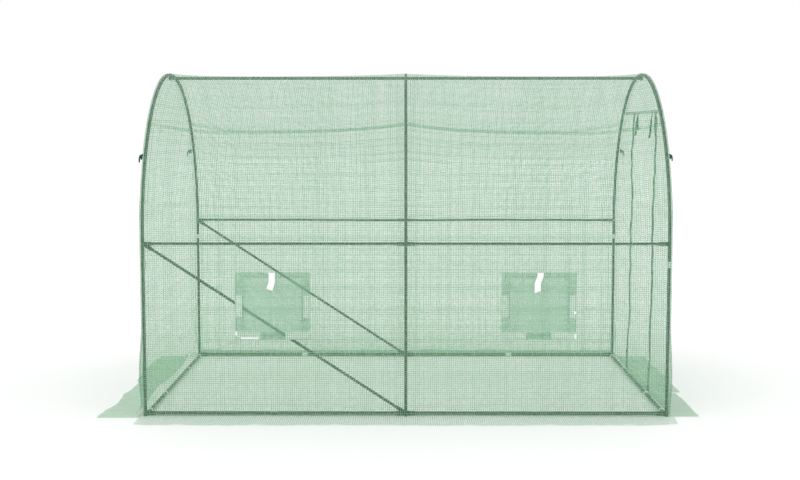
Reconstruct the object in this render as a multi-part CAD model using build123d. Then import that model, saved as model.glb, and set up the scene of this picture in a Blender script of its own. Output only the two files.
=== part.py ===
"""Walk-in polytunnel greenhouse: a bolted steel-tube frame under a green reinforced film cover.

Units are millimetres. +X runs along the tunnel, from the closed end to the door end, -Y is the front
side with the two windows, and +Z is up. The origin is on the ground, under the middle of the tunnel.

Frame: three hoops, each of two plugged-in legs and two bent upper tubes, tied together by a ridge
purlin bolted up under their crowns, a pair of side rails, a ring of base rails and one diagonal brace
a side. Rails and braces are tubes with flattened, drilled ends that share one bolt at each hoop.

Cover: a side panel each way up to a seam, a roof panel over the top, two end walls, and loose skirts
that lie on the ground outside. The door end has a panel between two upright zips.
"""
from math import atan2, degrees, hypot
import os

from build123d import *

# Overall frame
bay_length = 1500.0
frame_width = 1940.0            # between the centre lines of the legs
spring_height = 1020.0          # where the legs end and the arch begins
joint_height = 880.0            # where the upper tubes plug onto the legs

# Tubes
tube_diameter = 19.0
tube_wall = 0.8
swage_length = 50.0             # narrowed end that plugs into the next tube
swage_clearance = 0.1           # radial, between a narrowed end and the bore round it
rail_diameter = 16.0            # side rails and braces

# Flattened tube ends
flat_length = 45.0              # from the bolt hole to where the flat begins to open out
taper_length = 25.0             # from flat to round
flat_thickness = 2.0
flat_spread = 1.37              # width of the flat over the tube's diameter
bolt_hole_diameter = 6.5
seat_clearance = 0.1            # between a flat end and the round tube it is bolted to
crown_clearance = 0.2           # between the ridge purlin and the crowns over it

# Ridge purlin
ridge_overhang = 13.0           # beyond the middle of each end hoop
ridge_joint_offset = 60.0       # from the middle hoop to where its two lengths meet

# Heights of the rails
base_rail_height = 16.0
side_rail_height = 996.0

# Cover
cover_thickness = 1.5
cover_clearance = 0.3           # between the hoops and the cover over them
end_clearance = 2.0             # between the ends of the rails and an end wall
seam_height = 1683.0            # where the side panels meet the roof panel

# Skirts, measured out from the cover
side_skirt_reach = 245.0
end_skirt_reach = 265.0
door_skirt_reach = 232.0
door_front_skirt_reach = 193.0
skirt_slit = 6.0                # between the three skirts of the door end

# Windows in the front side panel, and what is on them
window_spacing = 1522.0         # between the middles of the two windows
window_height = 640.0           # middle of the flap
flap_width = 430.0
flap_height = 385.0
flap_thickness = 1.2
flap_margin = 53.0              # how far the flap laps over the wall at each side
flap_edge = 32.0                # the same above and below
screen_lap = 10.0               # how far the netting laps over the wall, inside
screen_thickness = 1.0
window_strap_width = 37.0
window_strap_length = 110.0

# Door, its zips and its ties
door_width = 760.0
door_height = 1755.0
zip_tape_width = 24.0
zip_tape_thickness = 1.2
zip_chain_width = 8.0
zip_chain_rise = 1.6            # of the teeth above the tape
zip_foot_gap = 2.0              # from the ground to the bottom of a zip
door_tie_offset = 200.0         # each side of the middle of the door
door_tie_width = 12.0
outer_door_tie_length = 125.0
inner_door_tie_length = 165.0

# Straps that hold the cover to the frame
tie_width = 30.0
base_tie_width = 40.0           # of the wider straps on the side base rails
tie_thickness = 1.4
tie_clearance = 0.5             # between a strap and the tube inside it
leg_tie_height = 879.0
base_tie_offset = 748.0         # along the side base rails, from the middle hoop
inner_end_tie_offset = 410.0    # along the end base rails, from the middle
outer_end_tie_offset = 885.0

# Knotted tapes outside the cover, one on each end arch above a shoulder
knot_height = 1485.0
knot_radius = 7.0
tail_length = 60.0
tail_width = 10.0
tail_angle = 25.0               # each tail leans out from straight down

webbing_thickness = 1.2         # of all tapes and window straps

# Worked out from the sizes above
tube_radius = tube_diameter / 2
bore_radius = tube_radius - tube_wall
swage_radius = bore_radius - swage_clearance
half_width = frame_width / 2
arch_radius = half_width
hoop_x = {"left": -bay_length, "middle": 0.0, "right": bay_length}
sides = {"front": -1, "back": 1}
tab_radius = tube_diameter * flat_spread / 2
bolt_plane = half_width - tube_radius - seat_clearance - flat_thickness
cover_inner = half_width + tube_radius + cover_clearance
cover_outer = cover_inner + cover_thickness
wall_inner_x = bay_length + tab_radius + end_clearance
wall_outer_x = wall_inner_x + cover_thickness
door_edge = door_width / 2


def block(x, y, z):
    """A box between the limits (low, high) given along each axis."""
    size = [high - low for low, high in (x, y, z)]
    centre = [(high + low) / 2 for low, high in (x, y, z)]
    return Pos(*centre) * Box(*size)


def save(name, shape):
    shape.label = name
    export_step(shape, f"parts/{name}.step")


# ---------------------------------------------------------------- frame


def plug_tube(length):
    """Open tube up from the origin, with a narrowed neck beyond its length that plugs into the next tube."""
    neck = swage_radius - tube_wall
    outline = Polyline(
        (bore_radius, 0),
        (tube_radius, 0),
        (tube_radius, length),
        (swage_radius, length),
        (swage_radius, length + swage_length),
        (neck, length + swage_length),
        (neck, length - tube_wall),
        (bore_radius, length - tube_wall),
        close=True,
    )
    return revolve(Plane.XZ * make_face(outline), Axis.Z)


def hoop_leg(x, side):
    """Leg whose narrowed top plugs into the upper tube."""
    return Pos(x, side * half_width, 0) * plug_tube(joint_height)


def arch_piece(ring, start_angle, sweep_angle):
    """The ring swept along the arch, from an angle above the back shoulder towards the front."""
    section = Pos(0, arch_radius, 0) * ring
    arc = revolve(section, Axis.X, revolution_arc=sweep_angle)
    return Pos(0, 0, spring_height) * Rot(start_angle, 0, 0) * arc


def upper_tube(x, side):
    """Bent tube from the leg up to the crown. The front one has the narrowed nose that joins the two."""
    ring = Circle(tube_radius) - Circle(bore_radius)
    shank = Pos(0, side * half_width, joint_height) * extrude(ring, spring_height - joint_height)
    bend_start = 0 if side > 0 else 90
    tube = shank + arch_piece(ring, bend_start, 90)
    if side < 0:
        nose_ring = Circle(swage_radius) - Circle(swage_radius - tube_wall)
        nose_angle = degrees(swage_length / arch_radius)
        collar_angle = degrees(tube_wall / arch_radius)
        collar_ring = Circle(bore_radius) - Circle(swage_radius - tube_wall)
        tube += arch_piece(nose_ring, 90 - nose_angle, nose_angle)
        tube += arch_piece(collar_ring, 90, collar_angle)
    return Pos(x, 0, 0) * tube


def flattened_tube(length, diameter, start_side, end_side):
    """Tube along +X between two bolt holes, with both ends pressed flat, square to Y.

    A flat lies wholly on one side of the tube's axis, so that two tubes on one line share a bolt
    with their flats face to face. A side is -1 for the flat at low Y and +1 for the one at high Y.
    """
    eye_radius = diameter * flat_spread / 2
    round_start = flat_length + taper_length
    tube = Pos(length / 2, 0, 0) * Rot(0, 90, 0) * Cylinder(diameter / 2, length - 2 * round_start)
    for end, inward, side in ((0, 1, start_side), (length, -1, end_side)):
        middle = side * flat_thickness / 2
        eye = Circle(eye_radius) + Pos(inward * flat_length / 2, 0) * Rectangle(flat_length, 2 * eye_radius)
        eye -= Circle(bolt_hole_diameter / 2)
        tab = extrude(Plane.XZ * eye, flat_thickness / 2, both=True)
        tube += Pos(end, middle, 0) * tab
        mouth = Plane(origin=(end + inward * flat_length, middle, 0), x_dir=(0, 0, 1), z_dir=(inward, 0, 0))
        throat = Plane(origin=(end + inward * round_start, 0, 0), x_dir=(0, 0, 1), z_dir=(inward, 0, 0))
        tube += loft([mouth * Rectangle(2 * eye_radius, flat_thickness), throat * Circle(diameter / 2)])
    return tube


def side_tube(start, end, height, end_height, side, diameter, layers):
    """Flattened tube along one side, between two bolts at (x, height). Layers count inward from the leg."""
    rise = end_height - height
    run = end - start
    first, last = layers
    axis_y = side * (bolt_plane - flat_thickness * (min(first, last) - 1))
    flats = [side if layer == min(first, last) else -side for layer in (first, last)]
    if first == last:
        flats = [side, side]
    tube = flattened_tube(hypot(run, rise), diameter, flats[0], flats[1])
    return Pos(start, axis_y, height) * Rot(0, -degrees(atan2(rise, run)), 0) * tube


def ridge_tube(start, end, necked):
    """Length of the ridge purlin from start to end, drilled where it passes under a hoop."""
    axis_z = spring_height + arch_radius - 2 * tube_radius - crown_clearance
    if necked:
        tube = plug_tube(end - start)
    else:
        tube = extrude(Circle(tube_radius) - Circle(bore_radius), end - start)
    tube = Pos(start, 0, axis_z) * Rot(0, 90, 0) * tube
    for x in hoop_x.values():
        if start < x < end:
            tube -= Pos(x, 0, axis_z) * Cylinder(bolt_hole_diameter / 2, 2 * tube_diameter)
    return tube


def end_base_rail(end_side):
    """Tube across one end, with ears bent round to share the corner bolts of the side base rails."""
    axis_x = bay_length - tube_radius - seat_clearance - flat_thickness / 2
    ear_face = bolt_plane
    round_start = ear_face - taper_length - flat_length / 2
    rail = Rot(90, 0, 0) * Cylinder(tube_radius, 2 * round_start)
    for side in sides.values():
        mouth = Plane(origin=(0, side * (round_start + taper_length), 0), x_dir=(0, 0, 1), z_dir=(0, side, 0))
        throat = Plane(origin=(0, side * round_start, 0), x_dir=(0, 0, 1), z_dir=(0, side, 0))
        rail += loft([throat * Circle(tube_radius), mouth * Rectangle(2 * tab_radius, flat_thickness)])
        web = block(
            (-flat_thickness / 2, flat_thickness / 2),
            sorted((side * (round_start + taper_length), side * ear_face)),
            (-tab_radius, tab_radius),
        )
        ear_end = bay_length - axis_x + tab_radius - flat_thickness
        ear = block(
            (-flat_thickness / 2, ear_end),
            sorted((side * (ear_face - flat_thickness), side * ear_face)),
            (-tab_radius, tab_radius),
        )
        hole = Pos(bay_length - axis_x, side * ear_face, 0) * Rot(90, 0, 0) * Cylinder(
            bolt_hole_diameter / 2, 4 * flat_thickness
        )
        rail += web + (ear - hole)
    turn = 0 if end_side > 0 else 180
    return Pos(end_side * axis_x, 0, base_rail_height) * Rot(0, 0, turn) * rail


# ---------------------------------------------------------------- cover


def tunnel_section(radius):
    """Upright outline of the tunnel, seen along X: straight to the spring line, then half round."""
    walls = Pos(0, spring_height / 2) * Rectangle(2 * radius, spring_height)
    arch = Pos(0, spring_height) * Circle(radius)
    below_ground = Pos(0, -radius / 2) * Rectangle(2 * radius, radius)
    return Plane.YZ * (walls + arch - below_ground)


def cover_sleeve():
    """The open-ended cover over the hoops, before it is split at its seams."""
    sleeve = extrude(tunnel_section(cover_outer), wall_inner_x, both=True)
    return sleeve - extrude(tunnel_section(cover_inner), 2 * wall_inner_x, both=True)


def end_wall(end_side):
    """Flat closed end over the mouth of the sleeve."""
    return Pos(end_side * wall_inner_x, 0, 0) * extrude(tunnel_section(cover_outer), end_side * cover_thickness)


def window_centres():
    return [(-window_spacing / 2, window_height), (window_spacing / 2, window_height)]


def window_sheet(width, height, outer_y, thickness):
    """A sheet over each window, whose outer face is at -outer_y."""
    sheets = [
        Pos(x, thickness / 2 - outer_y, z) * Box(width, thickness, height)
        for x, z in window_centres()
    ]
    return Compound(children=sheets)


def skirt(low, high, reach, end_side):
    """Skirt beside an end wall, between two values of Y."""
    return block(sorted((end_side * wall_outer_x, end_side * (wall_outer_x + reach))), (low, high), (0, cover_thickness))


def door_zip(side):
    """Tape on the wall with the line of teeth standing up from it."""
    tape = Pos(zip_tape_thickness / 2, 0) * Rectangle(zip_tape_thickness, zip_tape_width)
    chain = Pos(zip_tape_thickness + zip_chain_rise / 2, 0) * Rectangle(zip_chain_rise, zip_chain_width)
    strip = extrude(tape + chain, door_height - zip_foot_gap)
    return Pos(wall_outer_x, side * door_edge, zip_foot_gap) * strip


def tube_strap(reach, width):
    """Strap looped round a tube along Z, sewn to the cover at +X, which is reach from the tube's axis."""
    inner = tube_radius + tie_clearance
    outer = inner + tie_thickness
    loop = Circle(outer) + Pos(reach / 2, 0) * Rectangle(reach, 2 * outer)
    hollow = Circle(inner) + Pos(reach / 2, 0) * Rectangle(reach, 2 * inner)
    if reach < outer:
        loop = Circle(outer)
        hollow = Circle(inner)
    beyond = Pos(reach + outer, 0) * Rectangle(2 * outer, 4 * outer)
    return extrude(loop - hollow - beyond, width / 2, both=True)


def cover_ties():
    straps = []
    for side in sides.values():
        facing_wall = Rot(0, 0, side * 90)
        for x in (hoop_x["left"], hoop_x["right"]):
            strap = tube_strap(cover_inner - half_width, tie_width)
            straps.append(Pos(x, side * half_width, leg_tie_height) * facing_wall * strap)
        for x in (-base_tie_offset, base_tie_offset):
            lying = facing_wall * Rot(90, 0, 0) * tube_strap(cover_inner - bolt_plane, base_tie_width)
            straps.append(Pos(x, side * bolt_plane, base_rail_height) * lying)
    axis_x = bay_length - tube_radius - seat_clearance - flat_thickness / 2
    for end_side in (-1, 1):
        turn = Rot(0, 0, 0 if end_side > 0 else 180)
        lying = turn * Rot(90, 0, 0) * tube_strap(wall_inner_x - axis_x, tie_width)
        for offset in (inner_end_tie_offset, outer_end_tie_offset):
            for y in (-offset, offset):
                straps.append(Pos(end_side * axis_x, y, base_rail_height) * lying)
    return Compound(children=straps)


def door_ties():
    """Tapes that hold the rolled-up door, hanging from the head of the door inside and outside."""
    tapes = []
    for side in sides.values():
        y = (side * door_tie_offset - door_tie_width / 2, side * door_tie_offset + door_tie_width / 2)
        outer_x = (wall_outer_x, wall_outer_x + webbing_thickness)
        inner_x = (wall_inner_x - webbing_thickness, wall_inner_x)
        tapes.append(block(outer_x, y, (door_height - outer_door_tie_length, door_height)))
        tapes.append(block(inner_x, y, (door_height - inner_door_tie_length, door_height)))
    return Compound(children=tapes)


def knotted_tape():
    """A flattened knot with two tails, lying on a wall that faces +X."""
    knot = scale(Sphere(knot_radius), by=(1, 1, 0.8))
    knot &= block((0, knot_radius), (-knot_radius, knot_radius), (-knot_radius, knot_radius))
    for lean in (-tail_angle, tail_angle):
        tail = Pos(webbing_thickness / 2, 0, -tail_length / 2) * Box(webbing_thickness, tail_width, tail_length)
        knot += Rot(lean, 0, 0) * tail
    return knot


def hoop_ties():
    """One knotted tape on each end wall, front and back, just inside the edge of the arch."""
    rise = knot_height - spring_height
    reach = (cover_inner**2 - rise**2) ** 0.5 - tube_diameter
    knots = []
    for end_side in (-1, 1):
        turn = Rot(0, 0, 0 if end_side > 0 else 180)
        for side in sides.values():
            knots.append(Pos(end_side * wall_outer_x, side * reach, knot_height) * turn * knotted_tape())
    return Compound(children=knots)


# ---------------------------------------------------------------- build

os.makedirs("parts", exist_ok=True)

for hoop, x in hoop_x.items():
    for side_name, side in sides.items():
        save(f"{hoop}_hoop_{side_name}_leg", hoop_leg(x, side))
        save(f"{hoop}_hoop_{side_name}_upper", upper_tube(x, side))

ridge_end = bay_length + ridge_overhang
save("ridge_purlin_left", ridge_tube(-ridge_end, ridge_joint_offset, necked=True))
save("ridge_purlin_right", ridge_tube(ridge_joint_offset, ridge_end, necked=False))

# At the middle hoop the left-hand tube is next to the hoop and the right-hand one laps over it.
for bay, start, layers in (("left", -bay_length, (1, 1)), ("right", 0.0, (2, 1))):
    end = start + bay_length
    for side_name, side in sides.items():
        rail = side_tube(start, end, side_rail_height, side_rail_height, side, rail_diameter, layers)
        save(f"{side_name}_side_rail_{bay}", rail)
        base = side_tube(start, end, base_rail_height, base_rail_height, side, tube_diameter, layers)
        save(f"{side_name}_base_rail_{bay}", base)

for side_name, side in sides.items():
    brace = side_tube(-bay_length, 0.0, side_rail_height, base_rail_height, side, rail_diameter, (2, 3))
    save(f"{side_name}_brace", brace)

save("left_end_base_rail", end_base_rail(-1))
save("right_end_base_rail", end_base_rail(1))

far = 2 * wall_outer_x
below_seam = (0, seam_height)
sleeve = cover_sleeve()
window_hole = (flap_width - 2 * flap_margin, flap_height - 2 * flap_edge)
front_panel = sleeve & block((-far, far), (-far, 0), below_seam)
for x, z in window_centres():
    front_panel -= Pos(x, -cover_inner, z) * Box(window_hole[0], tube_diameter, window_hole[1])
save("front_side_panel", front_panel)
save("back_side_panel", sleeve & block((-far, far), (0, far), below_seam))
save("roof_panel", sleeve & block((-far, far), (-far, far), (seam_height, far)))

save("left_end_wall", end_wall(-1))
door_wall = end_wall(1)
save("right_wall_front", door_wall & block((0, far), (-far, -door_edge), (0, door_height)))
save("right_wall_back", door_wall & block((0, far), (door_edge, far), (0, door_height)))
save("right_wall_top", door_wall & block((0, far), (-far, far), (door_height, far)))
save("door_panel", door_wall & block((0, far), (-door_edge, door_edge), (0, door_height)))
save("door_zips", Compound(children=[door_zip(side) for side in sides.values()]))

save("window_flaps", window_sheet(flap_width, flap_height, cover_outer + flap_thickness, flap_thickness))
save(
    "window_screens",
    window_sheet(window_hole[0] + 2 * screen_lap, window_hole[1] + 2 * screen_lap, cover_inner, screen_thickness),
)
strap_rise = (flap_height - window_strap_length) / 2
strap_outer_y = cover_outer + flap_thickness + webbing_thickness
straps = window_sheet(window_strap_width, window_strap_length, strap_outer_y, webbing_thickness)
save("window_straps", Pos(0, 0, strap_rise) * straps)

for side_name, side in sides.items():
    reach = sorted((side * cover_outer, side * (cover_outer + side_skirt_reach)))
    save(f"{side_name}_skirt", block((-wall_outer_x, wall_outer_x), reach, (0, cover_thickness)))
save("left_skirt", skirt(-cover_outer, cover_outer, end_skirt_reach, -1))
slit_edge = door_edge + skirt_slit / 2
door_skirts = [
    skirt(-cover_outer, -slit_edge, door_front_skirt_reach, 1),
    skirt(skirt_slit / 2 - door_edge, door_edge - skirt_slit / 2, door_skirt_reach, 1),
    skirt(slit_edge, cover_outer, end_skirt_reach, 1),
]
save("right_skirt", Compound(children=door_skirts))

save("cover_ties", cover_ties())
save("door_ties", door_ties())
save("hoop_ties", hoop_ties())
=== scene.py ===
"""Polytunnel greenhouse: film, skirts, zips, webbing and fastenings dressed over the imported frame.

Metres, in the frame's own axes: +X runs along the tunnel to the door end, -Y is the front side with
the windows and +Z is up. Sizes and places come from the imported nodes.
"""

import math

import bpy
import numpy as np
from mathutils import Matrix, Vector


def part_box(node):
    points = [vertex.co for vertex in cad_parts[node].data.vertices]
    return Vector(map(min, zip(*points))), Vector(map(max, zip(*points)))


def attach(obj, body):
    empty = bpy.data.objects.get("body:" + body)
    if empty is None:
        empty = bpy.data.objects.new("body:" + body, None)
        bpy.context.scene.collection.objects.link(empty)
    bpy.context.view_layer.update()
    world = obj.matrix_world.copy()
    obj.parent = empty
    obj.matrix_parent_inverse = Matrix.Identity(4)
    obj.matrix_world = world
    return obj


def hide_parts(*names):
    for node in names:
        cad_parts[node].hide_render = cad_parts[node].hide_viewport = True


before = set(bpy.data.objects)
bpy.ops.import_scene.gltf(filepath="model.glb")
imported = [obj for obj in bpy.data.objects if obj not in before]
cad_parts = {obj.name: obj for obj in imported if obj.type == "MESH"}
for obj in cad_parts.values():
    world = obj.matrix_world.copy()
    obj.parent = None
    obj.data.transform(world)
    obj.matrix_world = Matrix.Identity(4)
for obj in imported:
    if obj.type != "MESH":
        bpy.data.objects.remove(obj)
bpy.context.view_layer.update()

# ---- sizes read from the frame

leg_low, leg_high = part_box("right_hoop_front_leg")
wall_low, wall_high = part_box("left_end_wall")
door_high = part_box("door_panel")[1]
flap_low, flap_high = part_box("window_flaps")
screen_low, screen_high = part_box("window_screens")
strap_low, strap_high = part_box("window_straps")

TUBE_RADIUS = (leg_high.x - leg_low.x) / 2
BAY = (leg_high.x + leg_low.x) / 2
LEG_Y = (leg_high.y - leg_low.y) / 2 - leg_high.y
HALF_WIDTH = wall_high.y - (wall_high.x - wall_low.x) / 2
SPRING = wall_high.z - wall_high.y
CROWN = SPRING + HALF_WIDTH
END = -wall_high.x
DOOR_HALF = door_high.y
DOOR_TOP = door_high.z
HALF_GIRTH = SPRING + HALF_WIDTH * math.pi / 2
GIRTH = 2 * HALF_GIRTH
SEAM_GIRTH = SPRING + HALF_WIDTH * math.asin((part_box("roof_panel")[0].z - SPRING) / HALF_WIDTH)
STRAP_WIDTH = 0.037
STRAP_LENGTH = strap_high.z - strap_low.z
WINDOW_X = strap_high.x - STRAP_WIDTH / 2
FLAP_HALF = flap_high.x - WINDOW_X
NET_HALF = screen_high.x - WINDOW_X
NET_LAP = 0.010
HOLE_HALF = NET_HALF - NET_LAP
HOLE_LOW = screen_low.z + NET_LAP
HOLE_HIGH = screen_high.z - NET_LAP
RAIL_Z = sum(corner.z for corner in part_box("front_side_rail_left")) / 2
BASE_Z = sum(corner.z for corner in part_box("front_base_rail_left")) / 2
PURLIN_LOW, PURLIN_TOP = (corner.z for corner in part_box("ridge_purlin_left"))

# How the film hangs
SHOULDER_SAG = 0.045        # inward between two hoops, half way up the arch
WALL_SAG = 0.0115           # inward between two hoops, down to the rails
SLIDE = 0.024               # how far the film creeps down between two hoops
CROWN_SAG = CROWN - PURLIN_TOP - 0.001
CORNER_PULL = {-1: 0.017, 1: 0.013}     # outward at each end's corners, low down
CORNER_FOOT = 0.004                     # the same, at the ground
STEP = 0.016                # size of the facets of the large sheets
THREAD_PITCH = 0.0122
FLOOR_GAP = 0.0012          # what lies on the ground stays this far above it
FOOT = 0.004                # where the walls turn out into the skirts

# Trim
TRIM_LIFT = 0.0011          # of seams and bindings above the film
SEAM_HALF = 0.014
SEAM_DROP = 0.006           # from the edge of the roof down to the middle of the seam
BINDING = 0.024
HEAD_HALF = 0.010           # half the height of the band over the door

# Windows
HEM = 0.026
PAD_WIDTH = 0.043
TONGUE_HALF = 0.066
TONGUE_HIGH = 0.046
FOOT_PAD_START = 0.070      # from the middle of a flap to its foot pads
NET_DEPTH = 0.0012          # behind the film

# Door
ZIP_FOOT = 0.012
ZIP_WIDTH = 0.026
ZIP_RISE = 0.0075           # the zips stand out from the slack wall in a ridge
COIL_LIFT = 0.0018          # of the coil above the ridge
SLIDER_Z = 0.075
TIE_WIDTH = 0.016

# Fastenings
KNOT_Z = 1.494
STRAP_GAP = 0.0011          # between a tube and the strap round it
LEG_STRAP_Z = 0.8785
SIDE_STRAP_X = 0.7475
END_STRAP_Y = (-0.88, -0.405, 0.41, 0.89)
TAB = 0.002                 # thickness of a flattened tube end


# ---- materials


class Shader:
    """A material and short ways of adding nodes to it."""

    def __init__(self, name):
        self.material = bpy.data.materials.new(name)
        self.material.use_nodes = True
        self.tree = self.material.node_tree
        self.tree.nodes.clear()

    def node(self, kind, inputs, **settings):
        """A new node, with its inputs given by name or number."""
        made = self.tree.nodes.new("ShaderNode" + kind)
        for key, value in settings.items():
            setattr(made, key, value)
        for key, value in inputs.items():
            if isinstance(value, bpy.types.NodeSocket):
                self.tree.links.new(value, made.inputs[key])
            else:
                made.inputs[key].default_value = value
        return made

    def add(self, kind, inputs, **settings):
        """The first output of a new node."""
        return self.node(kind, inputs, **settings).outputs[0]

    def cloth(self):
        return self.add("UVMap", {}, uv_map="cloth")

    def place(self):
        return self.node("TexCoord", {}).outputs["Object"]

    def math(self, operation, first, second=0.0, clamp=False):
        return self.add("Math", {0: first, 1: second}, operation=operation, use_clamp=clamp)

    def noise(self, place, scale, detail=2.0):
        return self.add("TexNoise", {"Vector": place, "Scale": scale, "Detail": detail})

    def remap(self, value, low, high, to_low, to_high):
        ranges = {"From Min": low, "From Max": high, "To Min": to_low, "To Max": to_high}
        return self.add("MapRange", {"Value": value, **ranges})

    def toned(self, value, low, high):
        """A noise, whose middle runs from 0.3 to 0.7, as a factor from low to high."""
        return self.remap(value, 0.3, 0.7, low, high)

    def scaled(self, colour, factor):
        return self.add("VectorMath", {0: colour, "Scale": factor}, operation="SCALE")

    def blend(self, share, first, second):
        colours = {6: (*first, 1.0), 7: (*second, 1.0)}
        return self.node("Mix", {0: share, **colours}, data_type="RGBA").outputs[2]

    def bump(self, height, distance, strength):
        return self.add("Bump", {"Height": height, "Distance": distance, "Strength": strength})

    def mixed(self, share, first, second):
        return self.add("MixShader", {0: share, 1: first, 2: second})

    def finish(self, surface, cover=1.0):
        """Cover is the share of light that doesn't go straight through."""
        if cover != 1.0:
            surface = self.mixed(cover, self.add("BsdfTransparent", {}), surface)
        self.node("OutputMaterial", {"Surface": surface})
        return self.material


def finish_film(shader, colour, shine, normal, cover, tone):
    """The film scatters two thirds back and one third through, under a faint sheen."""
    front = shader.add("BsdfDiffuse", {"Color": colour, "Normal": normal})
    through = shader.add("BsdfTranslucent", {"Color": colour, "Normal": normal})
    gloss = shader.add("BsdfGlossy", {"Roughness": 0.38, "Normal": normal})
    facing = shader.add("Fresnel", {"IOR": 1.4, "Normal": normal})
    sheen = shader.math("MULTIPLY", facing, shine)
    body = shader.mixed(sheen, shader.mixed(0.34, front, through), gloss)
    return shader.finish(body, shader.math("MULTIPLY", cover, tone, clamp=True))


def thread_lines(shader, coordinate, width, seed, weakest):
    """Up to 1 on the threads that cross one coordinate of the cloth, 0 between them."""
    turns = shader.math("MULTIPLY", coordinate, 1.0 / THREAD_PITCH)
    number = shader.math("ADD", shader.math("FLOOR", turns), seed)
    chance = shader.add("TexWhiteNoise", {"W": number}, noise_dimensions="1D")
    off_centre = shader.math("ABSOLUTE", shader.math("SUBTRACT", shader.math("FRACT", turns), 0.5))
    blur = 0.03
    line = shader.remap(off_centre, width / 2 - blur, width / 2 + blur, 1.0, 0.0)
    return shader.math("MULTIPLY", line, shader.remap(chance, 0.0, 1.0, weakest, 1.0))


def grid_film(name, film_colour, thread_colour, film_cover, thread_cover, width=0.18, weakest=0.35):
    """Translucent film with reinforcing threads, with painted shade that makes it a little more opaque, and
    so darker, near the ground.

    A cover is the share of light that doesn't go straight through. Width is the threads' share of
    their pitch, and weakest is how strong the faintest thread is beside the strongest.
    """
    shader = Shader(name)
    place = shader.cloth()
    wobble = shader.node("TexNoise", {"Vector": place, "Scale": 9.0, "Detail": 1.0}).outputs["Color"]
    sway = shader.add("VectorMath", {0: wobble, 1: (0.5,) * 3}, operation="SUBTRACT")
    half_pitch = (THREAD_PITCH * 0.5,) * 3
    shifted = shader.add("VectorMath", {0: sway, 1: half_pitch, 2: place}, operation="MULTIPLY_ADD")
    split = shader.node("SeparateXYZ", {0: shifted}).outputs
    warp = thread_lines(shader, split[0], width, 11.0, weakest)
    weft = thread_lines(shader, split[1], width, 57.0, weakest)
    mask = shader.math("MAXIMUM", warp, weft)
    cloud = shader.noise(place, 2.6, 4.0)
    clump = shader.noise(place, 34.0, 3.0)
    height = shader.node("SeparateXYZ", {0: shader.place()}).outputs[2]
    tone = shader.math("MULTIPLY", shader.toned(cloud, 0.94, 1.06), shader.toned(clump, 0.86, 1.14))
    # Painted shade: more cover, so a darker film, towards the ground
    tone = shader.math("MULTIPLY", tone, shader.remap(height, 0.1, 1.3, 1.09, 1.0))
    colour = shader.scaled(shader.blend(mask, film_colour, thread_colour), shader.toned(cloud, 0.95, 1.05))
    cover = shader.remap(mask, 0.0, 1.0, film_cover, thread_cover)
    return finish_film(shader, colour, 0.35, shader.bump(mask, 0.0004, 0.5), cover, tone)


def plain_film(name, colour, cover):
    """Translucent film with no threads: cloudy, with fine rolling lines."""
    shader = Shader(name)
    place = shader.cloth()
    cloud = shader.noise(place, 5.0, 4.0)
    grain = shader.noise(shader.add("Mapping", {"Vector": place, "Scale": (60.0, 900.0, 1.0)}), 1.0)
    tone = shader.math("MULTIPLY", shader.toned(cloud, 0.93, 1.07), shader.toned(grain, 0.96, 1.04))
    shade = shader.scaled(colour, tone)
    return finish_film(shader, shade, 0.45, shader.bump(grain, 0.0002, 0.4), tone, cover)


def woven(name, colour, pitch, weave_shade=0.12, cover=1.0):
    """Plain-woven tape or netting, seen as small over-and-under squares, with painted shade on the lower
    ones.
    """
    shader = Shader(name)
    place = shader.cloth()
    weave = shader.node("TexChecker", {"Vector": place, "Scale": 1.0 / pitch}).outputs["Fac"]
    fuzz = shader.noise(place, 1.4 / pitch, 3.0)
    height = shader.math("ADD", shader.math("MULTIPLY", weave, 0.5), fuzz)
    # The colour follows the weave's height: painted shade where it lies low, a faint painted highlight where
    # it stands high
    shade = shader.scaled(colour, shader.remap(height, 0.3, 1.2, 1.0 - weave_shade, 1.0 + weave_shade / 3))
    skin = {"Base Color": shade, "Roughness": 0.85, "Specular IOR Level": 0.3}
    skin["Normal"] = shader.bump(height, 0.0003, 0.7)
    return shader.finish(shader.add("BsdfPrincipled", skin), cover)


def coated_metal(name, dark, light, roughness, metallic=0.0, grain=700.0):
    """Powder-coated or plated metal with slight mottling and orange peel."""
    shader = Shader(name)
    place = shader.place()
    mottle = shader.noise(place, 14.0, 4.0)
    skin = {
        "Base Color": shader.blend(shader.remap(mottle, 0.35, 0.65, 0.0, 1.0), dark, light),
        "Roughness": shader.toned(mottle, roughness - 0.06, roughness + 0.08),
        "Metallic": metallic,
        "Normal": shader.bump(shader.noise(place, grain, 1.0), 0.0001, 0.25),
    }
    return shader.finish(shader.add("BsdfPrincipled", skin))


GRID = grid_film("grid_film", (0.21, 0.50, 0.27), (0.33, 0.525, 0.375), 0.165, 0.97, 0.26, 0.3)
BACK_GRID = grid_film("back_skirt_film", (0.24, 0.46, 0.29), (0.24, 0.46, 0.29), 0.36, 0.74)
SEAM_FILM = grid_film("seam_film", (0.26, 0.51, 0.32), (0.26, 0.51, 0.32), 0.24, 0.52)
BINDING_FILM = grid_film("binding_film", (0.29, 0.51, 0.34), (0.28, 0.49, 0.33), 0.04, 0.22)
SKIRT = plain_film("skirt_film", (0.31, 0.58, 0.37), 0.45)
GRID_SKIRT = grid_film("grid_skirt_film", (0.33, 0.55, 0.39), (0.34, 0.56, 0.40), 0.20, 0.62)
DARK_SKIRT = plain_film("door_skirt_film", (0.27, 0.56, 0.33), 0.57)
FLAP = grid_film("flap_film", (0.36, 0.61, 0.43), (0.17, 0.42, 0.24), 0.40, 0.97, 0.21, 0.25)
NET = woven("insect_net", (0.36, 0.56, 0.40), 0.003, cover=0.30)
TUBE = coated_metal("tube_green", (0.066, 0.092, 0.076), (0.082, 0.115, 0.095), 0.48)
HEAD_FILM = plain_film("head_film", (0.20, 0.38, 0.25), 0.72)
HEM_FILM = plain_film("hem_film", (0.26, 0.52, 0.33), 0.12)
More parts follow.
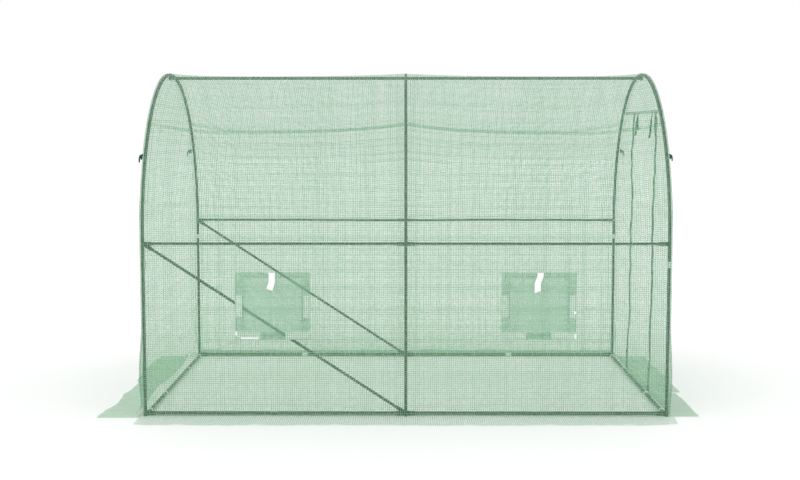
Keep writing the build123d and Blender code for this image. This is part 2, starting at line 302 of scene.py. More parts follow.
TONGUE_FILM = plain_film("tongue_film", (0.25, 0.50, 0.32), 0.17)
PAD = grid_film("pad_film", (0.84, 0.97, 0.88), (0.34, 0.56, 0.40), 0.85, 0.70, 0.24, 0.75)
ZINC = coated_metal("zinc_fastener", (0.42, 0.43, 0.42), (0.58, 0.59, 0.58), 0.34, 1.0, 1500.0)
WHITE = woven("white_webbing", (0.94, 0.95, 0.93), 0.0016, 0.06)
PALE = woven("pale_webbing", (0.82, 0.93, 0.86), 0.0020, 0.16)
DARK = woven("dark_tape", (0.020, 0.105, 0.075), 0.0014, 0.3)
ZIP_TAPE = woven("zip_tape", (0.042, 0.095, 0.058), 0.0012, 0.25)
ZIP_COIL = coated_metal("zip_coil", (0.030, 0.078, 0.045), (0.042, 0.100, 0.060), 0.35, grain=2500.0)
THREAD = woven("sewing_thread", (0.16, 0.34, 0.21), 0.0006, 0.2)


# ---- meshes


def smoothed(mesh):
    mesh.polygons.foreach_set("use_smooth", [True] * len(mesh.polygons))
    return mesh


def put_in_scene(name, data, place=(0, 0, 0), turn=(0, 0, 0)):
    made = bpy.data.objects.new(name, data)
    made.location = place
    made.rotation_euler = turn
    bpy.context.scene.collection.objects.link(made)
    return made


def make_object(name, mesh, material, node=None):
    """A visible piece, in place of a CAD node where one is named."""
    mesh.name = name
    mesh.materials.append(material)
    piece = put_in_scene(name, mesh)
    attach(piece, "root")
    if node:
        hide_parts(node)
    return piece


def make_sheet(name, mesh, material, slot, flat, held, rests_on, node=None, area=None, thickness=None):
    """A piece of cloth or film. Thickness is (how thick, 1 for all of it in front or 0 for half)."""
    piece = make_object(name, mesh, material, node)
    if thickness:
        solid = piece.modifiers.new("thickness", "SOLIDIFY")
        solid.thickness, solid.offset = thickness


def ticks(stops, step):
    """Values that run through every stop, at most about a step apart."""
    runs = [
        np.linspace(low, high, max(2, int(math.ceil((high - low) / step)) + 1))[:-1]
        for low, high in zip(stops, stops[1:])
    ]
    return np.append(np.concatenate(runs), stops[-1])


def points_on(surface, a, b):
    return np.stack(np.broadcast_arrays(*surface(a, b)), -1)


def new_mesh(points, faces, uvs):
    """UVs are the cloth coordinates in metres, at each corner of the faces."""
    mesh = bpy.data.meshes.new("piece")
    mesh.from_pydata(points.tolist(), [], faces)
    mesh.uv_layers.new(name="cloth").data.foreach_set("uv", uvs.astype(np.float32).reshape(-1))
    mesh.update()
    return mesh


def sheet_mesh(across, along, place, keep=None, axes=None):
    """A sheet over a grid, which gives the cloth coordinates unless two of the axes do."""
    a, b = np.meshgrid(across, along)
    points = points_on(place, a, b).reshape(-1, 3)
    cloth = points[:, axes] if axes else np.stack([a, b], -1).reshape(-1, 2)
    count = len(across)
    row, column = np.mgrid[0 : len(along) - 1, 0 : count - 1]
    corner = (row * count + column).reshape(-1)
    quads = np.stack([corner, corner + 1, corner + count + 1, corner + count], -1)
    if keep is not None:
        middles = np.meshgrid((across[1:] + across[:-1]) / 2, (along[1:] + along[:-1]) / 2)
        quads = quads[keep(*middles).reshape(-1)]
    used, flat = np.unique(quads, return_inverse=True)
    quads = flat.reshape(-1, 4)
    return smoothed(new_mesh(points[used], quads.tolist(), cloth[used][quads.reshape(-1)]))


def strip_mesh(width, step_across, ends, step_along, place):
    return sheet_mesh(ticks([-width / 2, width / 2], step_across), ticks(ends, step_along), place)


def joined(parts):
    """One mesh of several (points, faces) lists."""
    points, faces, start = [], [], 0
    for part_points, part_faces in parts:
        points.append(part_points)
        faces.extend([tuple(index + start for index in face) for face in part_faces])
        start += len(part_points)
    points = np.concatenate(points)
    flat = np.stack([points[:, 0] + points[:, 1], points[:, 2] + 0.37 * points[:, 1]], -1)
    return new_mesh(points, faces, flat[np.concatenate(faces, axis=None)])


def unit(vectors):
    return vectors / np.maximum(np.linalg.norm(vectors, axis=1), 1e-12)[:, None]


def ramp(value, low, high):
    share = np.clip((value - low) / (high - low), 0.0, 1.0)
    return share * share * (3.0 - 2.0 * share)


def bell(value, centre, spread):
    return np.exp(-(((value - centre) / spread) ** 2))


def waves(a, b, each):
    """Sum of sine waves, each given as (height, length along a, length along b, phase)."""
    return sum(
        height * np.sin(2 * math.pi * (a / along_a + b / along_b + phase))
        for height, along_a, along_b, phase in each
    )


# ---- where the film lies


def bay_share(x):
    """0 at the middle hoop to 1 at the end hoops, and how far the film has left the middle one."""
    share = np.clip(np.abs(x) / BAY, 0.0, 1.0)
    return share, 1 - (1 - share) ** 4.5


def sag_share(x):
    """0 at each hoop and about 1 half way between two."""
    share, left = bay_share(x)
    return left * (1 - share**9)


def creep(x):
    """How far the film slides down between two hoops: more in the door's bay."""
    share, left = bay_share(x)
    return SLIDE * (1.05 + 0.13 * np.sign(x)) * left * (1 - ramp(share, 0.74, 0.98))


def corner_lean(side, up):
    """How far an end's corner is pulled out, up its height."""
    low = np.where(np.asarray(side) < 0, CORNER_PULL[-1], CORNER_PULL[1])
    pulled = CORNER_FOOT + (low - CORNER_FOOT) * ramp(up, 0.0, 0.2)
    return pulled * (1 - ramp(up, 0.22, 0.55))


def side_and_up(girth):
    """Side of the tunnel, and how far along the film from the ground, of a place on the girth."""
    return np.where(girth < HALF_GIRTH, -1.0, 1.0), np.minimum(girth, GIRTH - girth)


def arch_angle(up):
    return np.clip((up - SPRING) / HALF_WIDTH, 0.0, math.pi / 2)


def on_tunnel(x, girth, lift=0.0):
    """Film over the hoops. Girth runs up the front wall, over the crown and down the back wall."""
    side, up = side_and_up(girth)
    bay = sag_share(x)
    sliding = ramp(up, SPRING - 0.1, SPRING + 0.4) * (1 - ramp(up, 1.8, HALF_GIRTH))
    up = up - creep(x) * sliding
    angle = arch_angle(up)
    high = ramp(angle, 0.9, math.pi / 2)
    inward = bay * (WALL_SAG * (1 - high) + CROWN_SAG * high + SHOULDER_SAG * np.sin(2 * angle) ** 2)
    x = x + np.sign(x) * ramp(np.abs(x), BAY - 0.15, END) * corner_lean(np.sign(x), up)
    slack = np.sqrt(bay) * ramp(up, 0.0, 0.25) * (1 - high)
    folds = [(0.0013, 0.37, 1.9, 0.12), (0.0010, -0.21, 0.83, 0.41)]
    folds += [(0.0009, 1.7, 0.29, 0.77), (0.0006, 0.13, -0.47, 0.3)]
    puckers = 1 + waves(x, girth, [(1.0, 0.19, 9.0, 0.2), (0.6, 0.083, 9.0, 0.7)])
    hem = bay * 0.0022 * np.exp(-up / 0.12) * puckers
    radius = HALF_WIDTH + lift - inward + slack * waves(x, girth, folds) + hem
    return x, side * radius * np.cos(angle), np.minimum(up, SPRING) + radius * np.sin(angle)


def back_edge(z):
    """Half the width of an end wall at a height."""
    arch = np.sqrt(np.maximum(HALF_WIDTH**2 - (z - SPRING) ** 2, 0.0))
    return np.where(z < SPRING, HALF_WIDTH, arch)


def front_edge(z):
    return -back_edge(z)


def zip_y(side, z):
    """The zips wander a little on the slack wall, and the door's foot is dragged to the back."""
    dragged = side * DOOR_HALF + 0.066 * (1 - ramp(z, 0.08, 0.6))
    return dragged + 0.006 * np.sin(5.2 * z + side) + 0.004 * np.sin(12.0 * z + 2 * side)


def front_zip(z):
    return zip_y(-1, z)


def back_zip(z):
    return zip_y(1, z)


def foot_flare(side, y):
    """How far an end wall's foot is dragged out by its skirt."""
    if side < 0:
        return 0.057 + 0.036 * bell(y, -0.22, 0.28) + 0.048 * ramp(y, 0.6, 0.95)
    return 0.008 + 0.010 * ramp(-y, 0.35, 0.5) + 0.016 * ramp(y, 0.2, 0.95)


def on_end(side, y, z, lift=0.0):
    """Film of an end wall: bellied out above, drawn in near the rail, and spread at its skirt."""
    rim = HALF_WIDTH - np.hypot(y, np.maximum(z - SPRING, 0.0))
    belly = 0.013 * ramp(z, 0.25, 1.3) - 0.0125 * (1 - ramp(z, 0.0, 0.8))
    folds = [(0.0042, 3.1, 0.47, 0.10), (0.0026, 0.83, 0.74, 0.35)]
    folds += [(0.0014, -0.31, 0.41, 0.6), (0.0009, 0.17, 0.9, 0.2)]
    ripple = waves(y, z, folds)
    if side > 0:
        # The zips draw the wall in, in puckers
        beside_zip = bell(np.abs(y), DOOR_HALF, 0.08)
        at_front = -0.0105 - 0.0055 * np.cos(2 * math.pi * (z - 1.1) / 0.85)
        at_back = -0.0090 + 0.0060 * np.sin(2 * math.pi * (z / 0.5 - 0.11))
        pucker = np.where(y < 0, at_front, at_back) + 0.002 * np.sin(2 * math.pi * z / 0.17)
        calm = np.where(y < 0, 1 - beside_zip, 1.0)
        ripple = ripple * calm + beside_zip * pucker * ramp(z, 0.3, 0.9)
    corner = ramp(HALF_WIDTH - np.abs(y), 0.0, 0.05)
    foot = foot_flare(side, y) * corner * np.clip(1 - z / 0.15, 0.0, 1.0) ** 2
    slack = ramp(rim, 0.0, 0.07) * (belly + ripple * ramp(z, 0.02, 0.25))
    return side * (END + lift + corner_lean(side, z) + slack + foot), y, z


def end_sheet(side, edges, low, high):
    """Part of an end wall. The edges are functions of height."""
    top = min(high, CROWN - 0.0004)
    along = ticks([low, top] if top <= SPRING or low >= SPRING else [low, SPRING, top], STEP)
    if top > SPRING:
        base = max(low, SPRING)
        crown = along > base
        lift = (along[crown] - base) / (top - base)
        along[crown] = base + (top - base) * np.sin(lift * math.pi / 2)
    widest = max(abs(edges[1](low) - edges[0](low)), 0.2)
    shares = np.linspace(0.0, 1.0, int(widest / STEP) + 2)

    def place(share, z):
        left, right = edges[0](z), edges[1](z)
        return on_end(side, left + (right - left) * share, z)

    return sheet_mesh(shares, along, place, axes=[1, 2])


# ---- camera, light and floor


def make_stage():
    scene = bpy.context.scene
    camera = bpy.data.cameras.new("camera")
    camera.lens = 57.26
    camera.sensor_width = 36.0
    turn = (math.radians(85.022), 0.0, math.radians(0.22))
    scene.camera = put_in_scene("camera", camera, (-0.0055, -8.184, 1.6475), turn)

    world = bpy.data.worlds.new("studio")
    world.use_nodes = True
    sky = world.node_tree.nodes["Background"]
    sky.inputs["Strength"].default_value = 1.0
    sky.inputs["Color"].default_value = (1, 1, 1, 1)
    scene.world = world

    lights = (("key_light", (-4.5, -6.5, 9.0), 0.33), ("fill_light", (5.0, -3.0, 8.0), 0.14))
    for name, place, strength in lights:
        light = bpy.data.lights.new(name, "SUN")
        light.energy = strength
        light.angle = math.radians(50)
        put_in_scene(name, light, place, (-Vector(place)).to_track_quat("-Z", "Y").to_euler())

    shader = Shader("studio_floor")
    tone = shader.toned(shader.noise(shader.place(), 0.7), 0.966, 0.972)
    grey = shader.add("CombineColor", {0: tone, 1: tone, 2: tone})
    reach = 60.0
    corners = [(reach * x, reach * y, 0) for x, y in ((-1, -1), (1, -1), (1, 1), (-1, 1))]
    floor_mesh = bpy.data.meshes.new("floor")
    floor_mesh.from_pydata(corners, [], [(0, 1, 2, 3)])
    floor_mesh.materials.append(shader.finish(shader.add("BsdfDiffuse", {"Color": grey})))
    put_in_scene("floor", floor_mesh)

    scene.view_settings.view_transform = "Standard"
    scene.view_settings.look = "None"
    scene.cycles.transparent_max_bounces = 24
    scene.cycles.max_bounces = 10
    scene.cycles.diffuse_bounces = 5
    scene.cycles.transmission_bounces = 6


# ---- frame


def finish_frame():
    """The rigid tubes stay as packed and get their coat."""
    for name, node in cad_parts.items():
        if any(part in name for part in ("hoop_front", "hoop_back", "rail", "purlin", "brace")):
            node.data.materials.clear()
            node.data.materials.append(TUBE)
            smoothed(node.data).set_sharp_from_angle(angle=math.radians(35))


# ---- film


def cut_area(edges, low, high):
    """Area of an end wall's film between two edges."""
    z = np.linspace(low, min(high, CROWN), 400)
    return float(np.mean(edges[1](z) - edges[0](z)) * (z[-1] - z[0]))


def make_film():
    windows = [side * WINDOW_X + edge * HOLE_HALF for side in (-1, 1) for edge in (-1, 1)]
    columns = ticks([-END, *windows[:2], 0.0, *windows[2:], END], STEP)
    rows = ticks([FOOT, HOLE_LOW, HOLE_HIGH, SPRING, SEAM_GIRTH], STEP)
    over = ticks([SEAM_GIRTH, HALF_GIRTH, GIRTH - SEAM_GIRTH], STEP)

    def outside_windows(x, up):
        in_hole = (np.abs(np.abs(x) - WINDOW_X) < HOLE_HALF) & (up > HOLE_LOW) & (up < HOLE_HIGH)
        return ~in_hole

    def over_hoops(name, along, flat, rests_on, node, keep=None, area=None):
        mesh = sheet_mesh(columns, along, on_tunnel, keep)
        make_sheet(name, mesh, GRID, "cover_film", flat, "stretched", rests_on, node, area)

    def hoops(part):
        return [f"{hoop}_hoop_{part}" for hoop in ("left", "middle", "right")]

    wall = (2 * END, SEAM_GIRTH)
    area = wall[0] * wall[1] - 4 * HOLE_HALF * (HOLE_HIGH - HOLE_LOW)
    over_hoops("film_front", rows, wall, hoops("front_leg"), "front_side_panel", outside_windows, area)
    over_hoops("film_back", GIRTH - rows[::-1], wall, hoops("back_leg"), "back_side_panel")
    roof = (2 * END, GIRTH - 2 * SEAM_GIRTH)
    over_hoops("film_roof", over, roof, hoops("front_upper") + ["ridge_purlin_left"], "roof_panel")

    def over_end(name, side, edges, low, high, flat, node, rests_on):
        mesh = end_sheet(side, edges, max(low, FOOT), high)
        area = cut_area(edges, low, high)
        make_sheet(name, mesh, GRID, "cover_film", flat, "stretched", rests_on, node, area)

    whole = (front_edge, back_edge)
    rests_on = ["left_hoop_front_upper", "left_hoop_back_upper"]
    over_end("film_left_end", -1, whole, 0.0, CROWN, (2 * HALF_WIDTH, CROWN), "left_end_wall", rests_on)
    rests_on = ["right_hoop_front_upper"]
    for name, edges in (("front", (front_edge, front_zip)), ("back", (back_zip, back_edge))):
        flat = (HALF_WIDTH - DOOR_HALF, DOOR_TOP)
        over_end(f"film_door_end_{name}", 1, edges, 0.0, DOOR_TOP, flat, f"right_wall_{name}", rests_on)
    flat = (2 * float(back_edge(DOOR_TOP)), CROWN - DOOR_TOP)
    over_end("film_door_end_top", 1, whole, DOOR_TOP, CROWN, flat, "right_wall_top", rests_on)
    door = end_sheet(1, (front_zip, back_zip), FOOT, DOOR_TOP)
    flat = (2 * DOOR_HALF, DOOR_TOP)
    make_sheet("film_door", door, GRID, "cover_film", flat, "hung", ["film_door_end_top"], "door_panel")


def ground_ripple(a, phase, out):
    """How far a skirt stands off the ground: more towards its loose edge."""
    folds = [(0.5, 0.41, 0.9, phase), (0.3, 0.23, -0.6, 2 * phase), (0.2, 0.11, 0.4, 3 * phase)]
    lying = FLOOR_GAP + 0.0042 * np.clip(0.35 + waves(a, out, folds), 0.0, 2.0) * (0.35 + out / 0.25)
    sewn = np.exp(-out / 0.012)
    return lying * (1 - sewn) + FOOT * sewn


def skirt_mesh(start, end, beside):
    return sheet_mesh(ticks([start, end], STEP), ticks([0.0, 1.0], 0.07), beside, axes=[0, 1])


def side_skirt(name, side, material, edge):
    """A skirt beside the tunnel. Edge says how far out its loose edge lies."""
    past_left, past_right = 0.016, 0.024

    def beside(x, share):
        held = np.clip(x, -END, END)
        start = FOOT if side < 0 else GIRTH - FOOT
        foot_x, foot_y, _ = on_tunnel(held, np.full_like(x, start))
        out = share * (edge(x) - np.abs(foot_y))
        over = 0.0022 * ramp(np.abs(x), BAY - 0.08, BAY + 0.01)
        past = (x - held) * (1 - 0.8 * share)
        return foot_x + past, foot_y + side * out, ground_ripple(x, 0.3 + 0.2 * side, out) + over

    mesh = skirt_mesh(-END - past_left, END + past_right, beside)
    flat = (2 * END + past_left + past_right, 0.24)
    node = f"{name}_skirt"
    make_sheet(f"skirt_{name}", mesh, material, "cover_film", flat, "laid", ["floor"], node)


def end_skirt(name, side, low, high, edge, material, node, slot, narrower=0.0):
    """A skirt past an end. Edge says how far out its loose edge lies."""
    middle_y = (low + high) / 2

    def foot_x(y):
        return on_end(side, y, np.full_like(y, FOOT))[0]

    def beside(y, share):
        foot = foot_x(y)
        out = share * (edge(y) - side * foot)
        ripple = ground_ripple(y, 0.25 + 0.15 * side, out)
        return foot + side * out, y - narrower * share * (y - middle_y), ripple

    middle = np.linspace(low, high, 20)
    flat = (high - low, float(np.mean(edge(middle) - side * foot_x(middle))))
    make_sheet(name, skirt_mesh(low, high, beside), material, slot, flat, "laid", ["floor"], node)


def make_skirts():
    def front(x):
        return 1.203 + 0.003 * np.sin(5.0 * x) - 0.028 * ramp(x, 1.25, END + 0.02)

    def back(x):
        return HALF_WIDTH + 0.248 + 0.008 * np.sin(3.0 * x + 1.0) + 0.005 * np.sin(11.0 * x)

    def left(y):
        pulled = 0.034 * ramp(-y, 0.6, 0.98) + 0.016 * bell(y, -0.38, 0.13)
        middle = 0.033 * ramp(y, -0.08, 0.14) + 0.018 * ramp(y, 0.2, 0.5)
        return 1.738 + pulled + middle - 0.014 * ramp(y, 0.75, 0.95) + 0.0015 * np.sin(31 * y)

    def beside_door(y):
        at_back = 1.730 + 0.012 * np.cos(2 * math.pi * (HALF_WIDTH - y) / 0.56)
        return np.where(y < 0, 1.690 + 0.003 * np.sin(8 * y), at_back)

    def door(y):
        return 1.724 + 0.012 * bell(y, 0.22, 0.14)

    side_skirt("front", -1, GRID_SKIRT, front)
    side_skirt("back", 1, BACK_GRID, back)
    end_skirt("skirt_left", -1, -HALF_WIDTH - 0.040, HALF_WIDTH, left, SKIRT, "left_skirt", "plain_film")
    slit = 0.003
    front_slit, back_slit = (float(zip_y(turn, 0.0)) for turn in (-1, 1))
    for name, low, high, edge, narrower in (
        ("skirt_door_end_front", -HALF_WIDTH, front_slit - slit, beside_door, 0.0),
        ("skirt_door", front_slit + slit, back_slit - slit, door, 0.05),
        ("skirt_door_end_back", back_slit + slit, HALF_WIDTH, beside_door, 0.0),
    ):
        end_skirt(name, 1, low, high, edge, DARK_SKIRT, "right_skirt", "cover_film", narrower)


# ---- sewing


def stitches(lines):
    """Points and faces of the stitches along lines, each given as (points, normals)."""
    pitch, length, width, rise = 0.0048, 0.0031, 0.0009, 0.0006
    points, faces, start = [], [], 0
    shape = np.array([[-0.5, 0, 0], [0.5, 0, 0], [0, 0.5, 0], [0, -0.5, 0], [0, 0, 1], [0, 0, -0.6]])
    shape = shape * np.array([length, width, rise])
    sides = [(0, 3, 4), (3, 1, 4), (1, 2, 4), (2, 0, 4), (3, 0, 5), (1, 3, 5), (2, 1, 5), (0, 2, 5)]
    for line, normals in lines:
        gaps = np.linalg.norm(np.diff(line, axis=0), axis=1)
        run = np.concatenate([[0.0], np.cumsum(gaps)])
        spots = np.arange(pitch / 2, run[-1], pitch)

        def along_run(values, at):
            return np.stack([np.interp(at, run, values[:, axis]) for axis in range(3)], -1)

        middle = along_run(line, spots)
        along = unit(along_run(line, spots + pitch / 2) - along_run(line, spots - pitch / 2))
        up = along_run(normals, spots)
        up = unit(up - along * np.sum(along * up, axis=1)[:, None])
        axes = np.stack([along, np.cross(up, along), up], 1)
        points.append((middle[:, None, :] + shape @ axes).reshape(-1, 3))
        for first in range(start, start + 6 * len(spots), 6):
            faces.extend([tuple(corner + first for corner in side) for side in sides])
        start += 6 * len(spots)
    return np.concatenate(points), faces


def line_on(surface, a, b):
    """Points along a line on a surface, with the outward normals there."""
    a, b = np.broadcast_arrays(a, b)
    here = points_on(surface, a, b)
    reach, rise = 0.0005, 0.0006
    normal = unit(np.cross(points_on(surface, a + reach, b) - here, points_on(surface, a, b + reach) - here))
    outward = here - np.array([0.0, 0.0, SPRING])
    outward[:, 2] = np.maximum(outward[:, 2], 0.0)
    normal *= np.sign(np.sum(normal * outward, axis=1))[:, None]
    return here + normal * rise, normal


def trim_on_tunnel(x, girth):
    return on_tunnel(x, girth, TRIM_LIFT)


def trim_on_door_end(y, z):
    return on_end(1, y, z, TRIM_LIFT)


def end_rim(side, girth, inset):
    """A point on an end wall, at an inset from its rim."""
    turn, up = side_and_up(girth)
    angle = arch_angle(up)
    radius = HALF_WIDTH - inset
    z = np.minimum(up, SPRING) + radius * np.sin(angle)
    return on_end(side, turn * radius * np.cos(angle), z, TRIM_LIFT)


def make_binding(name, side):
    """The bound edge of one end. Gives the lines of its stitching."""
    girths = ticks([FOOT, SPRING, HALF_GIRTH, GIRTH - SPRING, GIRTH - FOOT], STEP)

    def around(across, girth):
        """Over the edge: across is below 0 on the tunnel and above 0 on the end wall."""
        tunnel = trim_on_tunnel(side * (END + np.minimum(across, 0.0)), girth)
        wall = end_rim(side, girth, np.maximum(across, 0.0))
        return [np.where(across > 0, there, here) for there, here in zip(wall, tunnel)]

    mesh = sheet_mesh(ticks([-BINDING, 0.0, BINDING], BINDING / 3), girths, around)
    flat = (2 * BINDING, GIRTH)
    make_sheet(f"binding_{name}", mesh, BINDING_FILM, "cover_film", flat, "stretched", ["film_roof"])
    lines = []
    for inset in (0.35 * BINDING, 0.8 * BINDING):
        lines.append(line_on(trim_on_tunnel, side * (END - inset), girths))
        lines.append(line_on(lambda girth, depth: end_rim(side, girth, depth), girths, inset))
    return lines


def make_trim():
    """Doubled seams, the bound edges of the ends, and the stitching along them."""
    lines = []
    columns = ticks([-END, 0.0, END], STEP)
    for name, girth in (("front", SEAM_GIRTH - SEAM_DROP), ("back", GIRTH - SEAM_GIRTH)):
        mesh = sheet_mesh(columns, ticks([girth - SEAM_HALF, girth + SEAM_HALF], 0.006), trim_on_tunnel)
        flat = (2 * END, 2 * SEAM_HALF)
        make_sheet(f"seam_{name}", mesh, SEAM_FILM, "cover_film", flat, "stretched", ["film_roof"])
        for offset in (-0.6, 0.6):
            lines.append(line_on(trim_on_tunnel, columns, girth + offset * SEAM_HALF))
    lines += make_binding("left", -1) + make_binding("door_end", 1)

    # The band over the door, where the rolled door is tied up
    half = float(back_edge(DOOR_TOP)) - 0.012
    rows = ticks([DOOR_TOP - HEAD_HALF, DOOR_TOP + HEAD_HALF], 0.005)
    mesh = sheet_mesh(ticks([-half, half], STEP), rows, trim_on_door_end)
    flat = (2 * half, 2 * HEAD_HALF)
    make_sheet("door_head", mesh, HEAD_FILM, "cover_film", flat, "stretched", ["film_door_end_top"])
    across = np.linspace(-half, half, 120)
    for offset in (-0.6, 0.6):
        lines.append(line_on(trim_on_door_end, across, DOOR_TOP + offset * HEAD_HALF))
    make_object("stitching", joined([stitches(lines)]), THREAD)


# ---- windows


def wall_patch(name, x_range, z_range, surface, material, slot, held, rests_on, step=0.012, **more):
    """A patch on the front wall, cut square, over a surface of x and height."""
    mesh = sheet_mesh(ticks(x_range, step), ticks(z_range, step), surface)
    flat = (x_range[1] - x_range[0], z_range[1] - z_range[0])
    make_sheet(name, mesh, material, slot, flat, held, [rests_on], **more)


def make_window(name, centre):
    """One window with its net, flap, pads and strap. Gives the lines of its stitching."""
    left, right = centre - FLAP_HALF, centre + FLAP_HALF
    low, high = flap_low.z, flap_high.z
    middle_z, half_z = (low + high) / 2, (high - low) / 2

    def on_flap(height):
        """The flap's own face, so far above it."""
        def surface(x, z):
            u = np.clip((x - centre) / FLAP_HALF, -1, 1)
            v = np.clip((z - middle_z) / half_z, -1, 1)
            swell = 0.0045 * (1 - u**2) * (1 - v**2) * (1 + 0.4 * np.sin(9 * x + 4 * z))
            loose = 0.0012 * (1 - v) * (1 + np.sin(31 * x + 7 * z)) / 2
            return on_tunnel(x, z, 0.0016 + swell + loose + height)

        return surface

    def on_net(x, z):
        return on_tunnel(x, z, -NET_DEPTH)

    net_x, net_z = (centre - NET_HALF, centre + NET_HALF), (screen_low.z, screen_high.z)
    wall_patch(f"net_{name}", net_x, net_z, on_net, NET, "insect_net", "stretched", "film_front",
               node="window_screens")
    flap = f"flap_{name}"
    wall_patch(flap, (left, right), (low, high), on_flap(0.0), FLAP, "flap_film", "hung", "film_front",
               node="window_flaps")

    def sewn(part, x_range, z_range, height, material, slot="flap_film", **more):
        wall_patch(f"{part}_{name}", x_range, z_range, on_flap(height), material, slot, "hung", flap, **more)

    side_hem = PAD_WIDTH + 0.002
    hem_z = (low + PAD_WIDTH, high - HEM)
    for part, x_range, z_range, material in (
        ("flap_hem", (left, right), (high - HEM, high), HEM_FILM),
        ("flap_hem_a", (left, left + side_hem), hem_z, HEM_FILM),
        ("flap_hem_b", (right - side_hem, right), hem_z, HEM_FILM),
        ("flap_tongue", (centre - TONGUE_HALF, centre + TONGUE_HALF), (low, low + TONGUE_HIGH), TONGUE_FILM),
    ):
        sewn(part, x_range, z_range, 0.0010, material)

    lines = []
    inset = 0.004
    foot = (low, low + PAD_WIDTH)
    for part, x_range, z_range in (
        ("side_a", (left, left + PAD_WIDTH), (middle_z - 0.068, middle_z + 0.066)),
        ("side_b", (right - PAD_WIDTH, right), (middle_z - 0.072, middle_z + 0.066)),
        ("foot_a", (left, centre - FOOT_PAD_START), foot),
        ("foot_b", (centre + FOOT_PAD_START, right), foot),
    ):
        sewn(f"pad_{part}", x_range, z_range, 0.0016, PAD, step=0.009, thickness=(0.0012, 1.0))
        x_low, x_high = x_range[0] + inset, x_range[1] - inset
        z_low, z_high = z_range[0] + inset, z_range[1] - inset
        corners = [(x_low, z_low), (x_high, z_low), (x_high, z_high), (x_low, z_high), (x_low, z_low)]
        for (x0, z0), (x1, z1) in zip(corners, corners[1:]):
            lines.append(line_on(on_flap(0.0028), np.linspace(x0, x1, 12), np.linspace(z0, z1, 12)))
    across = np.linspace(left + inset, right - inset, 40)
    for drop in (0.004, 0.019):
        lines.append(line_on(on_flap(0.0010), across, high - drop))

    # White tape sewn along an edge or two of the pads
    if centre < 0:
        tape_foot = (left + 0.030, left + 0.132), (low + 0.0015, low + 0.0115)
        tape_side = (left, left + 0.010), (low + 0.022, low + PAD_WIDTH + 0.002)
    else:
        tape_foot = (right - 0.010, right), (low + 0.004, low + 0.034)
        tape_side = (right - 0.014, right - 0.002), (middle_z - 0.046, middle_z - 0.030)
    for part, (x_range, z_range) in (("foot", tape_foot), ("side", tape_side)):
        sewn(f"tape_{part}", x_range, z_range, 0.0032, WHITE, "white_webbing", step=0.004)

    # How far the strap swings over, between which shares of its length, how its cut end slants, how
    # high it ends above the solid's, and where its top is sewn
    bend, starts, ends, slant, shorter, aside = (
        (0.0150, 0.45, 1.15, 0.34, 0.012, -0.0035) if centre < 0 else (0.0160, 0.12, 0.62, -0.42, 0.0, 0.0070)
    )
    top_x = centre + aside

    def hanging(across, down):
        share = np.clip(down / STRAP_LENGTH, 0.0, 1.0)
        drop = down * (1 - shorter / STRAP_LENGTH) + slant * across * share**6
        x = top_x - bend * ramp(share, starts, ends) + across
        stand = 0.0078 + 0.008 * share**2 + 0.0012 * np.cos(across * 70)
        return x, -(HALF_WIDTH + stand) + WALL_SAG * sag_share(top_x + across), high - drop

    mesh = strip_mesh(STRAP_WIDTH, 0.005, [0.0, STRAP_LENGTH], 0.005, hanging)
    flat = (STRAP_WIDTH, STRAP_LENGTH)
    make_sheet(f"strap_{name}", mesh, WHITE, "white_webbing", flat, "hung", [flap], "window_straps",
               thickness=(0.0012, 1.0))
    return lines


def make_windows():
    lines = make_window("left", -WINDOW_X) + make_window("right", WINDOW_X)
    make_object("window_stitching", joined([stitches(lines)]), THREAD)


# ---- small parts


def box_part(size, taper=1.0):
    """Box about the origin whose +Z face is tapered."""
    x, y, z = (side / 2 for side in size)
    ends = ((-1, 1.0), (1, taper))
    points = [(sx * x * t, sy * y * t, sz * z) for sz, t in ends for sy in (-1, 1) for sx in (-1, 1)]
    faces = [(0, 2, 3, 1), (4, 5, 7, 6), (0, 1, 5, 4), (2, 6, 7, 3), (0, 4, 6, 2), (1, 3, 7, 5)]
    return np.array(points), faces


def tube_faces(rings, sides, closed=True):
    """Faces round a row of rings of points, with its two ends closed."""
    faces = []
    for ring in range(rings - 1):
        for i in range(sides):
            a, b = ring * sides + i, ring * sides + (i + 1) % sides
            faces.append((a, b, b + sides, a + sides))
    if closed:
        faces.append(tuple(range(sides))[::-1])
        faces.append(tuple(range((rings - 1) * sides, rings * sides)))
    return faces


def lathe(profile, sides, twist=0.0):
    """Turned part about Z from (radius, height) pairs: a ring if the first pair comes again last."""
    angles = np.arange(sides) * 2 * math.pi / sides + twist
    points = [(r * math.cos(a), r * math.sin(a), z) for r, z in profile for a in angles]
    return np.array(points), tube_faces(len(profile), sides, profile[0] != profile[-1])


def swept(points, sideways, width, thickness):
    """Flat band swept along points, its width along the sideways directions."""
    sideways = unit(sideways)
    up = np.cross(unit(np.gradient(points, axis=0)), sideways)
    half = [(-0.5, -0.25), (-0.47, -0.5), (0.47, -0.5), (0.5, -0.25)]
    section = half + [(-u, -v) for u, v in half]
    rings = np.stack([points + sideways * u * width + up * v * thickness for u, v in section], 1)
    return rings.reshape(-1, 3), tube_faces(len(points), len(section))


def placed(part, origin, axes):
    """Part moved to an origin, with its X, Y and Z along three given directions."""
    points, faces = part
    return points @ np.array(axes) + origin, faces


